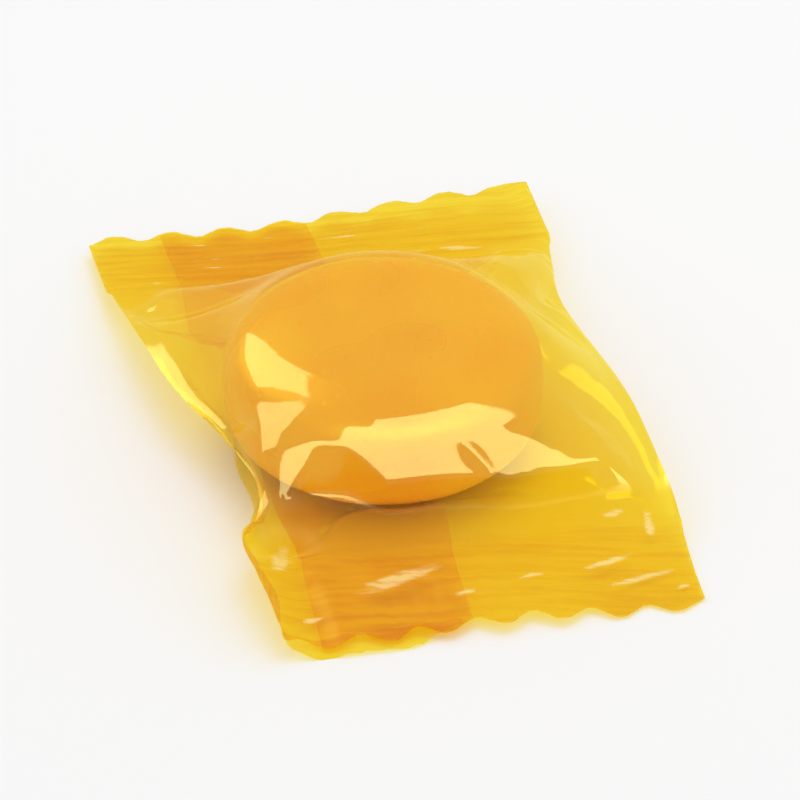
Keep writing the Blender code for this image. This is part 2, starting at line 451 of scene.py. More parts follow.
@dataclass(frozen=True)
class FilmRelaxer:
    """Lets the film tube settle over the drop, by position based dynamics.

    The film can't stretch, resists bending a little, keeps its side creases pressed and
    its end seals in their poses, and rests on the floor and on the drop.
    """

    sizes: PackSizes
    front: SealPose
    back: SealPose
    seed: int = 3
    details: tuple[Detail, ...] = (
        Detail(32, 52, 700, 1 / 1500, ((2, 0.35), (4, 0.30)), 3),
        Detail(64, 104, 500, 1 / 2000, ((2, 0.35), (4, 0.35), (8, 0.35)), 6),
        Detail(128, 208, 260, 1 / 2500, ((2, 0.35), (4, 0.35), (8, 0.35), (16, 0.35)), 12),
    )
    gravity: float = 900.0
    drag: float = 0.97
    seal_pull: float = 0.02
    crease_width: float = 1.5
    crease_press: float = 0.12
    crease_pull: float = 0.15
    left_crease: CreaseLine = CreaseLine(
        drawn=5.0, drawn_at=-12.5, drawn_length=12.0, lift=2.6, lift_length=20.0
    )
    right_crease: CreaseLine = CreaseLine(drawn=2.0, drawn_at=7.0, drawn_length=9.0, lift=2.2)
    dome_reach: Pair = (17.0, 20.0)
    dome_foot: float = 1.4
    dome_sink: float = 0.5
    dome_fade: Pair = (0.35, 0.75)
    seal_rise_from: float = 0.5
    upper_start: float = 0.8
    lower_start: float = 0.4
    start_width: float = 0.95
    start_noise: float = 0.05
    shake: float = 0.005
    shake_every: int = 10
    rim_radius: float = 4.4
    rim_slack: float = 1e-6
    clearance: float = 0.1
    smoothing: int = 4
    taut_place: Pair = (-7.5, -17.5)
    taut_reach: Pair = (8.0, 9.0)
    taut_passes: int = 160
    front_pleat: Pleat = Pleat(
        folds=(
            Fold(-16.5, -14.0, 0.0, 0.0),
            Fold(-13.5, -14.0, 0.0, 1.5),
            Fold(-10.0, -14.2, 0.1, 2.1),
            Fold(-7.5, -15.2, 0.3, 1.8),
            Fold(-4.8, -18.2, 0.7, 0.9),
            Fold(5.0, -18.4, 0.8, 0.8),
            Fold(11.0, -17.6, 0.7, 0.8),
            Fold(16.5, -16.4, 0.0, 0.3),
        ),
        inward=4.2,
        hollow_share=0.48,
    )

    def start(self, grid: FilmGrid, rng: np.random.Generator) -> Points:
        """Make the first shape: a smooth dome over the drop, slightly uneven.

        Args:
            grid: The coarsest grid.
            rng: Source of the unevenness.

        Returns:
            The grid's points.
        """
        sizes = self.sizes
        away = grid.away((sizes.drop_x, sizes.drop_y), self.dome_reach)
        from_middle = np.abs(grid.y) / sizes.pocket_half
        rise = self.front.level * smooth((from_middle - self.seal_rise_from) / (1.0 - self.seal_rise_from))
        shorter = (self.front.reach + self.back.reach) / 2.0 / sizes.pocket_half
        covered = 1.0 - smooth((away - self.dome_fade[0]) / self.dome_fade[1])
        top = self.dome_foot + (sizes.drop_thickness - self.dome_sink) * covered
        level = np.where(grid.upper, np.maximum(top, rise + self.upper_start), self.lower_start + rise)
        points = np.stack([grid.x * self.start_width, grid.y * shorter, level])
        points = np.where(grid.sealed, self.poses(grid), points)
        return (points + rng.normal(size=points.shape) * self.start_noise).astype(np.float32)

    def poses(self, grid: FilmGrid) -> Points:
        """Where the points of both end seals belong."""
        front, back = (pose.place(grid.x, grid.y, self.sizes) for pose in (self.front, self.back))
        return np.where(grid.y[None] < 0.0, front, back)

    @staticmethod
    def tighten(points: Points, link: Link) -> None:
        """Move the ends of a family of links towards their flat length.

        Args:
            points: The grid's points, which are moved.
            link: The family.
        """
        start = points[(slice(None), *link.start)]
        end = points[(slice(None), *link.end)]
        offset = end - start
        length = np.sqrt(np.einsum("irc,irc->rc", offset, offset)) + np.float32(TINY)
        error = (length - link.length) / length
        offset *= np.where(error > 0.0, np.float32(0.5 * link.pull), np.float32(0.5 * link.push)) * error
        start += offset
        end -= offset

    def press(self, grid: FilmGrid, points: Points, poses: Points, crease: Points) -> None:
        """Press the seals and creases shut, and keep the two sheets apart elsewhere.

        Args:
            grid: The film's grid.
            points: Its points, which are moved.
            poses: Where the seals' points belong.
            crease: How firmly each column is pressed, between 0 and 1.
        """
        gap = np.float32(self.sizes.film_gap)
        upper = points[:, :, : grid.half + 1]
        lower = points[:, :, grid.partner[: grid.half + 1]]
        middle = (upper + lower) * np.float32(0.5)
        shut = np.where(grid.sealed, np.float32(1.0), crease[None, : grid.half + 1])
        upper = upper + (middle - upper) * shut
        lower = lower + (middle - lower) * shut
        overlap = np.maximum(gap - (upper[2] - lower[2]), 0.0) * np.float32(0.5)
        upper[2] += overlap
        lower[2] -= overlap
        for column in (0, -1):
            upper[:, :, column] = middle[:, :, column]
            lower[:, :, column] = middle[:, :, column]
        points[:, :, : grid.half + 1] = upper
        points[:, :, grid.partner[: grid.half + 1]] = lower
        points += (poses - points) * (grid.sealed * np.float32(self.seal_pull))

    def draw_in(self, grid: FilmGrid, points: Points) -> None:
        """Draw the two side creases towards their lines, between the seals.

        Args:
            grid: The film's grid.
            points: Its points, which are moved.
        """
        level = (self.front.level + self.back.level) / 2.0
        pull = np.where(grid.sealed[:, 0], np.float32(0.0), np.float32(self.crease_pull))
        for column, side, crease in ((0, -1.0, self.left_crease), (grid.half, 1.0, self.right_crease)):
            aside, height = crease.path(points[1, :, column], self.sizes, level)
            points[0, :, column] += (aside * side - points[0, :, column]) * pull
            points[2, :, column] += (height - points[2, :, column]) * pull

    def rest(self, points: Points) -> None:
        """Push the points out of the drop and up from the floor.

        Args:
            points: The film's points, which are moved.
        """
        sizes = self.sizes
        x = points[0] - np.float32(sizes.drop_x)
        y = points[1] - np.float32(sizes.drop_y)
        z = points[2] - np.float32(sizes.drop_level)
        radius = np.hypot(x, y) + np.float32(TINY)
        side = radius - np.float32(sizes.drop_diameter / 2.0 - self.rim_radius)
        cap = np.abs(z) - np.float32(sizes.drop_thickness / 2.0 - self.rim_radius)
        out_side = np.maximum(side, 0.0)
        out_cap = np.maximum(cap, 0.0)
        out = np.hypot(out_side, out_cap)
        depth = np.float32(self.clearance + self.rim_radius) - out - np.minimum(np.maximum(side, cap), 0.0)
        push = np.maximum(depth, 0.0)
        at_rim = out > self.rim_slack
        toward_side = np.where(at_rim, out_side / (out + TINY), side > cap)
        toward_cap = np.where(at_rim, out_cap / (out + TINY), side <= cap) * np.sign(z)
        points[0] += push * toward_side * x / radius
        points[1] += push * toward_side * y / radius
        points[2] += push * toward_cap
        np.maximum(points[2], np.float32(sizes.film_floor), out=points[2])

    def settle(self, grid: FilmGrid, points: Points, detail: Detail, rng: np.random.Generator) -> None:
        """Run one level of detail.

        Args:
            grid: The level's grid.
            points: Its points, which are moved.
            detail: How long it runs and how stiff it is.
            rng: Source of the slight unevenness that starts the folds.
        """
        weave = grid.weave()
        fine = grid.stiffeners(*detail.stiffness[0])
        broad = [link for span, push in detail.stiffness[1:] for link in grid.stiffeners(span, push)]
        straight = grid.crease_stiffeners(detail.crease_span)
        poses = self.poses(grid)
        from_side = self.sizes.half_width - np.abs(grid.x[0])
        crease = self.crease_press * np.clip(1.0 - from_side / self.crease_width, 0.0, 1.0)
        crease = crease.astype(np.float32)
        speed = np.zeros_like(points)
        fall = np.float32(self.gravity * detail.step_time**2)
        for step in range(detail.steps):
            before = points.copy()
            points += speed
            points[2] -= fall
            if step % self.shake_every == 0:
                points += rng.normal(size=points.shape).astype(np.float32) * np.float32(self.shake)
            for link in weave + fine + (broad if step % 2 == 0 else []) + straight:
                self.tighten(points, link)
            self.press(grid, points, poses, crease)
            self.draw_in(grid, points)
            self.rest(points)
            speed = (points - before) * np.float32(self.drag)

    def iron(self, grid: FilmGrid, points: Points) -> None:
        """Smooth the smallest dents out of the pocket, and the taut front left of it further.

        Args:
            grid: The film's grid.
            points: Its points, which are moved.
        """
        inner = ~grid.sealed & ~np.isin(np.arange(grid.round), (0, grid.half))[None, :]
        away = grid.away(self.taut_place, self.taut_reach)
        taut = (inner & grid.upper) * (1.0 - smooth(away * 2.0 - 1.0))
        for number in range(self.taut_passes):
            share = np.where(number < self.smoothing, inner, taut).astype(np.float32) * np.float32(0.5)
            beside = sum(np.roll(points, step, axis) for axis in (2, 1) for step in (1, -1))
            points += (beside * np.float32(0.25) - points) * share
            self.rest(points)

    def crease(self, grid: FilmGrid, points: Points) -> None:
        """Press the pleat into the upper sheet.

        Args:
            grid: The film's grid.
            points: Its points, which are moved.
        """
        upper = slice(1, grid.half)
        sheet = points[:, :, : grid.half + 1]
        along, across = (np.gradient(sheet, axis=axis)[:, :, 1:-1] for axis in (1, 2))
        normal = np.cross(across, along, axis=0)
        normal /= np.linalg.norm(normal, axis=0, keepdims=True) + TINY
        seal = -self.sizes.pocket_half
        relief = self.front_pleat.relief(grid.x[:, upper], grid.y[:, upper], seal)
        points[:, :, upper] += normal * (relief * ~grid.sealed)
        self.rest(points)

    def relax(self, levels: int) -> tuple[FilmGrid, Points]:
        """Settle the film from coarse to fine.

        Args:
            levels: How many levels of detail to run.

        Returns:
            The finest grid and its points.
        """
        rng = np.random.default_rng(self.seed)
        points: Points | None = None
        for detail in self.details[:levels]:
            grid = FilmGrid(self.sizes, detail.columns, detail.rows)
            points = self.start(grid, rng) if points is None else grid.refined(points)
            self.settle(grid, points, detail, rng)
            LOG.info("film settled at %d by %d cells", grid.round, grid.rows - 1)
        self.iron(grid, points)
        self.crease(grid, points)
        return grid, points


class Tree:
    """A node tree under construction, with short calls for its common nodes."""

    def __init__(self, tree: bpy.types.NodeTree) -> None:
        """Wrap an empty tree."""
        self.tree = tree

    def add(
        self, kind: str, inputs: dict[str | int, object] | None = None, **settings: object
    ) -> bpy.types.Node:
        """Add a node.

        Args:
            kind: The node's type.
            inputs: Values or sockets for its inputs, by name or index.
            **settings: The node's own properties.

        Returns:
            The node.
        """
        node = self.tree.nodes.new(kind)
        for name, setting in settings.items():
            setattr(node, name, setting)
        for key, value in (inputs or {}).items():
            self.feed(node.inputs[key], value)
        return node

    def feed(self, socket: Socket, value: object) -> None:
        """Link a socket into an input, or set the input to a plain value.

        Args:
            socket: The input.
            value: What it gets.
        """
        if isinstance(value, bpy.types.NodeSocket):
            self.tree.links.new(value, socket)
        else:
            socket.default_value = value

    def math(self, operation: str, *values: Value, clamp: bool = False) -> Socket:
        """A Math node's result."""
        node = self.add("ShaderNodeMath", dict(enumerate(values)), operation=operation, use_clamp=clamp)
        return node.outputs[0]

    def times(self, first: Value, second: Value) -> Socket:
        """The product of two values."""
        return self.math("MULTIPLY", first, second)

    def plus(self, first: Value, second: Value) -> Socket:
        """The sum of two values."""
        return self.math("ADD", first, second)

    def minus(self, first: Value, second: Value, clamp: bool = False) -> Socket:
        """The first value less the second."""
        return self.math("SUBTRACT", first, second, clamp=clamp)

    def over(self, first: Value, second: Value) -> Socket:
        """The first value divided by the second."""
        return self.math("DIVIDE", first, second)

    def ease(
        self, value: Value, low: Value, high: Value, to_low: Value = 0.0, to_high: Value = 1.0
    ) -> Socket:
        """A smooth step from to_low to to_high as value runs from low to high."""
        inputs = {"Value": value, "From Min": low, "From Max": high, "To Min": to_low, "To Max": to_high}
        return self.add("ShaderNodeMapRange", inputs, interpolation_type="SMOOTHSTEP").outputs["Result"]

    def vector(self, x: Value, y: Value, z: Value) -> Socket:
        """A vector of three values."""
        return self.add("ShaderNodeCombineXYZ", {"X": x, "Y": y, "Z": z}).outputs[0]

    def scaled(self, vector: Socket, factor: Value) -> Socket:
        """A vector times a number."""
        node = self.add("ShaderNodeVectorMath", {0: vector, "Scale": factor}, operation="SCALE")
        return node.outputs["Vector"]

    def noise(self, **inputs: Value) -> Socket:
        """Soft noise, from its node's inputs by name."""
        return self.add("ShaderNodeTexNoise", inputs).outputs["Fac"]

    def drawn_noise(self, place: tuple[Value, ...], size: tuple[Value, Value], **inputs: Value) -> Socket:
        """Soft noise at a place on the flat film, drawn out to a size across and along it."""
        drawn = self.vector(self.over(place[0], size[0]), self.over(place[1], size[1]), place[2])
        return self.noise(Vector=drawn, Scale=1.0, **inputs)

    def bump(self, **inputs: Value) -> Socket:
        """The normal of a surface with a relief, from its node's inputs by name."""
        return self.add("ShaderNodeBump", inputs).outputs[0]

    def blend(self, share: Value, first: Colour, second: Colour) -> Socket:
        """A colour between two: the first where share is 0, the second where it is 1."""
        inputs = {"Factor": share, 6: (*first, 1.0), 7: (*second, 1.0)}
        return self.add("ShaderNodeMix", inputs, data_type="RGBA").outputs[2]

    def mixed(self, share: Value, first: bpy.types.Node, second: bpy.types.Node) -> bpy.types.Node:
        """A shader between two: the first where share is 0, the second where it is 1."""
        return self.add("ShaderNodeMixShader", {0: share, 1: first.outputs[0], 2: second.outputs[0]})


class ShapeRule(Tree):
    """A Geometry Nodes tree that shapes one mesh by a rule with named sizes."""

    def __init__(self, name: str) -> None:
        """Start a tree with a mesh input and a mesh output.

        Args:
            name: The tree's name.
        """
        super().__init__(bpy.data.node_groups.new(name, "GeometryNodeTree"))
        self.face = self.tree.interface
        self.face.new_socket("Geometry", in_out="OUTPUT", socket_type="NodeSocketGeometry")
        self.face.new_socket("Geometry", in_out="INPUT", socket_type="NodeSocketGeometry")
        self.given = self.tree.nodes.new("NodeGroupInput")
        self.sizes: dict[str, object] = {}

    def size(self, name: str, value: float) -> Socket:
        """Declare a named size.

        Args:
            name: The input's name.
            value: The size that it gets.

        Returns:
            The input's socket inside the tree.
        """
        item = self.face.new_socket(name, in_out="INPUT", socket_type="NodeSocketFloat")
        self.sizes[item.identifier] = value
        return self.given.outputs[name]

    def placed(self, geometry: Socket, **inputs: Socket) -> Socket:
        """The geometry with its points at a Position, or moved by an Offset."""
        return self.add("GeometryNodeSetPosition", {"Geometry": geometry, **inputs}).outputs[0]

    def swollen(self, geometry: Socket, amount: Socket) -> Socket:
        """The geometry with its points moved along its normals."""
        normal = self.add("GeometryNodeInputNormal").outputs[0]
        return self.placed(geometry, Offset=self.scaled(normal, amount))

    def close(self, geometry: Socket, material: bpy.types.Material) -> None:
        """End the tree: realize, shade smooth and set the material.

        Args:
            geometry: The shaped geometry.
            material: Its material, which becomes an input of the tree.
        """
        item = self.face.new_socket("Material", in_out="INPUT", socket_type="NodeSocketMaterial")
        self.sizes[item.identifier] = material
        real = self.add("GeometryNodeRealizeInstances", {"Geometry": geometry}).outputs[0]
        shaded = self.add("GeometryNodeSetShadeSmooth", {"Geometry": real}).outputs[0]
        material_in = self.given.outputs["Material"]
        dressed = self.add("GeometryNodeSetMaterial", {"Geometry": shaded, "Material": material_in})
        self.add("NodeGroupOutput", {"Geometry": dressed.outputs[0]})

    def shape(self, obj: bpy.types.Object) -> None:
        """Run the rule on an object and keep the result as its plain mesh.

        Args:
            obj: The object, whose mesh is replaced.
        """
        modifier = obj.modifiers.new(self.tree.name, "NODES")
        modifier.node_group = self.tree
        for identifier, value in self.sizes.items():
            modifier[identifier] = value
        graph = bpy.context.evaluated_depsgraph_get()
        mesh = bpy.data.meshes.new_from_object(obj.evaluated_get(graph), depsgraph=graph)
        obj.modifiers.remove(modifier)
        old = obj.data
        obj.data = mesh
        bpy.data.meshes.remove(old)
        mesh.name = obj.name


def new_object(name: str, data: bpy.types.ID) -> bpy.types.Object:
    """Put a mesh, a lamp or a camera in the scene as a named object at the origin.

    Args:
        name: The object's name.
        data: Its mesh, lamp or camera.

    Returns:
        The object.
    """
    obj = bpy.data.objects.new(name, data)
    bpy.context.scene.collection.objects.link(obj)
    return obj


def tube_mesh(name: str, points: Points, flat_x: Points, flat_y: Points) -> bpy.types.Mesh:
    """Make a shut tube from rings of points, its two ends closed as flat mouths.

    Args:
        name: The mesh's name.
        points: Positions in millimetres, indexed by axis, ring and place round the ring.
        flat_x: Flat positions across, kept as the attribute flat.
        flat_y: Flat positions along, kept there too.

    Returns:
        The mesh, in metres.
    """
    _, rings, around = points.shape
    half = around // 2
    index = np.arange(rings * around).reshape(rings, around)
    near, far = index[:-1], index[1:]
    walls = np.stack([near, np.roll(near, -1, 1), np.roll(far, -1, 1), far], -1).reshape(-1, 4)
    faces = walls.tolist()
    for ring, order in ((index[0], -1), (index[-1], 1)):
        for i in range(half):
            corners = (ring[i], ring[i + 1], ring[-i - 1], ring[-i % around])
            faces.append(list(dict.fromkeys(int(corner) for corner in corners))[::order])
    mesh = bpy.data.meshes.new(name)
    mesh.from_pydata((points.reshape(3, -1).T * MM).tolist(), [], faces)
    mesh.update()
    ends = np.empty(len(mesh.edges) * 2, dtype=np.int32)
    mesh.edges.foreach_get("vertices", ends)
    ring, place = np.divmod(ends.reshape(-1, 2), around)
    along_crease = (place[:, 0] == place[:, 1]) & np.isin(place[:, 0], (0, half))
    at_mouth = (ring[:, 0] == ring[:, 1]) & np.isin(ring[:, 0], (0, rings - 1))
    mesh.attributes.new("sharp_edge", "BOOLEAN", "EDGE").data.foreach_set("value", along_crease | at_mouth)
    side = np.where(np.arange(around) <= half, 1.0, -1.0)
    side[[0, half]] = 0.0
    flat = np.stack([flat_x, flat_y, np.broadcast_to(side, flat_x.shape)], -1)
    kept = mesh.attributes.new("flat", "FLOAT_VECTOR", "POINT")
    kept.data.foreach_set("vector", flat.astype(np.float32).ravel())
    return mesh


@dataclass(frozen=True)
class Crimp:
    """The ribs and streaks pressed into the end seals, and the ruffles of the film between them."""

    rib_pitch: float = 1.25
    rib_relief: float = 0.008
    patch_scale: float = 0.20
    patch_layer: float = 4.0
    patch_range: Pair = (0.4, 0.62)
    patch_depth: Pair = (0.3, 1.6)
    seal_inset: float = 1.2
    seal_fade: float = 0.7
    streak_height: float = 0.30
    streak_size: Pair = (14.0, 2.8)
    streak_slant: float = 0.14
    streak_layer: float = 9.0
    ruffle_size: float = 3.2
    ruffle_roughness: float = 0.45

    def rule(self, sizes: PackSizes, material: bpy.types.Material, ruffle: float) -> ShapeRule:
        """Build the rule that moves the film's points along its normals.

        Args:
            sizes: The pack's sizes.
            material: The film's material.
            ruffle: Height of the fine ruffles.

        Returns:
            The finished rule.
        """
        rule = ShapeRule("crimped_film")
        pitch = rule.size("Rib Pitch", self.rib_pitch)
        relief = rule.size("Rib Relief", self.rib_relief * MM)
        start = rule.size("Seal Start", sizes.pocket_half + self.seal_inset)
        streak = rule.size("Streak Height", self.streak_height * MM)
        height = rule.size("Ruffle Height", ruffle * MM)
        grain = rule.size("Ruffle Size", self.ruffle_size)
        kept = rule.add("GeometryNodeInputNamedAttribute", {"Name": "flat"}, data_type="FLOAT_VECTOR")
        x, y, side = rule.add("ShaderNodeSeparateXYZ", {0: kept.outputs[0]}).outputs
        along = rule.math("ABSOLUTE", y)
        sealed = rule.ease(along, start, rule.plus(start, self.seal_fade))
        wave = rule.math("SINE", rule.times(rule.over(along, pitch), math.tau))
        patches = rule.noise(Vector=rule.vector(x, y, self.patch_layer), Scale=self.patch_scale)
        pressed = rule.ease(patches, *self.patch_range, *self.patch_depth)
        ribs = rule.times(wave, rule.times(pressed, relief))
        slanted = (x, rule.math("MULTIPLY_ADD", x, self.streak_slant, y), self.streak_layer)
        long_noise = rule.drawn_noise(slanted, self.streak_size, Detail=1.0)
        streaks = rule.times(rule.minus(long_noise, 0.5), streak)
        crimp = rule.times(rule.plus(ribs, streaks), sealed)
        place = (x, y, rule.times(side, rule.minus(1.0, sealed)))
        noise = rule.drawn_noise(place, (grain, grain), Detail=2.0, Roughness=self.ruffle_roughness)
        ruffles = rule.times(rule.minus(noise, 0.5), height)
        amount = rule.times(rule.plus(crimp, ruffles), side)
        rule.close(rule.swollen(rule.given.outputs["Geometry"], amount), material)
        return rule


@dataclass
class Wrapper:
    """The film tube with its crimped end seals, its lip and the fin seal folded under it.

    The front seal droops to the floor and is turned, its left corner folded up. The back
    seal droops too, and is nearly square and wavy.
    """

    sizes: PackSizes
    levels: int = 3
    front: SealPose = SealPose(
        reach=18.7,
        level=1.6,
        droop=5.0,
        turn=-3.0,
        spread=0.970,
        roll=-0.55,
        wave=0.30,
        wave_turns=4.2,
        wave_phase=0.6,
        curl_side=-1,
        curl_width=3.0,
        curl_angle=88.0,
        curl_start=0.85,
    )
    back: SealPose = SealPose(
        reach=19.2,
        level=2.3,
        droop=8.0,
        turn=-2.0,
        spread=0.992,
        roll=0.3,
        wave=0.35,
        wave_turns=3.6,
        wave_phase=-0.9,
        curl_side=1,
        curl_width=2.0,
        curl_angle=25.0,
        curl_start=0.2,
    )
    crimp: Crimp = Crimp()
    ruffle: float = 0.05
    strip_thickness: float = 0.05
    strip_floor: float = 0.02
    strip_columns: int = 26
    fin_gap: float = 0.05
    fin_droop: float = 0.10
    fin_wave: float = 0.4
    fin_wave_rate: float = 0.31
    lip_left: float = -15.2
    lip_right: float = -1.0
    lip_reach: float = 1.5
    lip_growth: float = 0.35
    lip_taper: float = 0.35
    lip_root: float = 2.7
    lip_behind: float = 5.4
    lip_start: float = 2.0
    lip_rows: int = 5
    lip_sink: float = 0.14

    def settle(self) -> None:
        """Relax the film over the drop and keep its grid and points."""
        self.grid, self.points = FilmRelaxer(self.sizes, self.front, self.back).relax(self.levels)

    def envelope(self, material: bpy.types.Material) -> bpy.types.Object:
        """Build the film tube.

        Args:
            material: The film's material.

        Returns:
            The finished object.
        """
        mesh = tube_mesh("film_wrapper", self.points, self.grid.x, self.grid.y)
        obj = new_object("film_wrapper", mesh)
        self.crimp.rule(self.sizes, material, self.ruffle).shape(obj)
        return obj

    def lower_sheet(self, flat_x: Points) -> tuple[Points, Points]:
        """Read the lower sheet at flat positions across the pack.

        Args:
            flat_x: Positions across, one for each column wanted.

        Returns:
            The points there, for every row, and the rows' flat Y.
        """
        from_left = (flat_x + self.sizes.half_width) / self.sizes.width
        column = self.grid.round - from_left * self.grid.half
        left = np.floor(column).astype(int) % self.grid.round
        right = (left + 1) % self.grid.round
        share = (column - np.floor(column))[None, None, :]
        points = self.points[:, :, left] * (1.0 - share) + self.points[:, :, right] * share
        flat_y = self.grid.y[:, left] * (1.0 - share[0]) + self.grid.y[:, right] * share[0]
        return points, flat_y

    def slab(
        self, name: str, sheet: Points, flat: tuple[Points, Points], material: bpy.types.Material
    ) -> bpy.types.Object:
        """Build a thin strip of film, shut all round.

        Args:
            name: The object's name.
            sheet: Positions of its upper face, indexed by axis, row and column.
            flat: Flat positions across, for each column, and along, for each row and column.
            material: The film's material.

        Returns:
            The finished object.
        """
        flat_x, flat_y = flat
        below = sheet.copy()
        below[2] -= self.strip_thickness
        ring = np.concatenate([sheet, below[:, :, -2:0:-1]], axis=2)
        ring[2] = np.maximum(ring[2], self.strip_floor)
        ring_x = np.concatenate([flat_x, flat_x[-2:0:-1]])
        ring_y = np.concatenate([flat_y, flat_y[:, -2:0:-1]], axis=1)
        mesh = tube_mesh(name, ring[:, ::-1], np.broadcast_to(ring_x, ring_y.shape), ring_y[::-1])
        obj = new_object(name, mesh)
        self.crimp.rule(self.sizes, material, 0.0).shape(obj)
        return obj

    def fin(self, material: bpy.types.Material) -> bpy.types.Object:
        """Build the fin seal: two sheets joined, folded flat against the lower sheet.

        Args:
            material: The fin seal's material.

        Returns:
            The finished object.
        """
        across = np.linspace(0.0, 1.0, self.strip_columns)
        flat_x = self.sizes.fin_root - self.sizes.fin_width * across
        sheet, flat_y = self.lower_sheet(flat_x)
        waved = 1.0 + self.fin_wave * np.sin(flat_y[:, :1] * self.fin_wave_rate + 1.0)
        loose = self.fin_gap + self.fin_droop * across * waved
        sheet[2] -= np.where(self.grid.sealed, self.fin_gap, loose)
        return self.slab("fin_seal", sheet, (flat_x, flat_y), material)

    def lip(self, material: bpy.types.Material) -> bpy.types.Object:
        """Build the lip: the lower sheet's edge that stands out beyond the front cut's left half.

        It grows from its right end, and is a little narrower over its last fifth.

        Args:
            material: The lip's material.

        Returns:
            The finished object.
        """
        flat_x = np.linspace(self.lip_right, self.lip_left, self.strip_columns)
        sheet, flat_y = self.lower_sheet(flat_x)
        from_cut = flat_y[:, 0] + self.sizes.cut_line
        near, far = (int(np.argmax(from_cut > step)) for step in (self.lip_root, self.lip_behind))
        outward = sheet[:, near] - sheet[:, far]
        outward = outward / np.linalg.norm(outward, axis=0)
        share = (self.lip_right - flat_x) / (self.lip_right - self.lip_left)
        narrowed = 1.0 - self.lip_taper * smooth(share * 5.0 - 4.0)
        reach = self.lip_reach * smooth(share / self.lip_growth) * narrowed
        out = np.linspace(self.lip_start, self.lip_root + reach, self.lip_rows)
        edge = sheet[:, near][:, None, :] + outward[:, None, :] * out[None]
        edge[2] -= self.lip_sink
        edge_y = flat_y[near] - out[::-1]
        return self.slab("lower_sheet_lip", edge[:, ::-1], (flat_x, edge_y), material)


@dataclass
class Drop:
    """The butterscotch drop: a round tablet with a dished top and bottom."""

    sizes: PackSizes
    squareness: float = 3.3
    dish_radius: float = 8.8
    dish_depth: float = 0.80
    dish_fade: float = 0.75
    seam_relief: float = 0.10
    seam_width: float = 0.9
    unevenness: float = 0.22
    swell_scale: float = 150.0
    swell_middle: float = 0.62
    middle_slack: float = 1e-6
    cuts: int = 72

    def body(self, material: bpy.types.Material) -> bpy.types.Object:
        """Build the drop.

        Args:
            material: The boiled sugar's material.

        Returns:
            The finished object.
        """
        rule = ShapeRule("boiled_drop")
        radius = rule.size("Radius", self.sizes.drop_diameter / 2.0 * MM)
        half = rule.size("Half Thickness", self.sizes.drop_thickness / 2.0 * MM)
        power = rule.size("Squareness", 2.0 / self.squareness)
        dish_radius = rule.size("Dish Radius", self.dish_radius * MM)
        dish_depth = rule.size("Dish Depth", self.dish_depth * MM)
        seam = rule.size("Seam Relief", self.seam_relief * MM)
        uneven = rule.size("Unevenness", self.unevenness * MM)
        cuts = {f"Vertices {axis}": self.cuts for axis in "XYZ"}
        cube = rule.add("GeometryNodeMeshCube", {**cuts, "Size": (2.0, 2.0, 2.0)})
        position = rule.add("GeometryNodeInputPosition").outputs[0]
        ball = rule.add("ShaderNodeVectorMath", {0: position}, operation="NORMALIZE").outputs[0]
        x, y, z = rule.add("ShaderNodeSeparateXYZ", {0: ball}).outputs
        across = rule.math("SQRT", rule.plus(rule.times(x, x), rule.times(y, y)))
        out = rule.times(rule.math("POWER", across, power), radius)
        rise = rule.times(rule.math("POWER", rule.math("ABSOLUTE", z), power), half)
        inside = rule.minus(1.0, rule.over(out, dish_radius), clamp=True)
        dish = rule.times(rule.ease(inside, 0.0, self.dish_fade), dish_depth)
        level = rule.times(rule.minus(rise, dish), rule.math("SIGN", z))
        off_middle = rule.over(rule.math("ABSOLUTE", level), self.seam_width * MM)
        edge = rule.minus(1.0, off_middle, clamp=True)
        wide = rule.plus(out, rule.times(rule.ease(edge, 0.0, 1.0), seam))
        share = rule.over(wide, rule.math("MAXIMUM", across, self.middle_slack))
        position = rule.vector(rule.times(x, share), rule.times(y, share), level)
        shaped = rule.placed(cube.outputs["Mesh"], Position=position)
        noise = rule.noise(Scale=self.swell_scale, Detail=1.5, Roughness=0.5)
        swollen = rule.swollen(shaped, rule.times(rule.minus(noise, self.swell_middle), uneven))
        place = Vector((self.sizes.drop_x, self.sizes.drop_y, self.sizes.drop_level)) * MM
        placed = rule.add("GeometryNodeTransform", {"Geometry": swollen, "Translation": place})
        rule.close(placed.outputs[0], material)
        obj = new_object("butterscotch_drop", bpy.data.meshes.new("butterscotch_drop"))
        rule.shape(obj)
        return obj


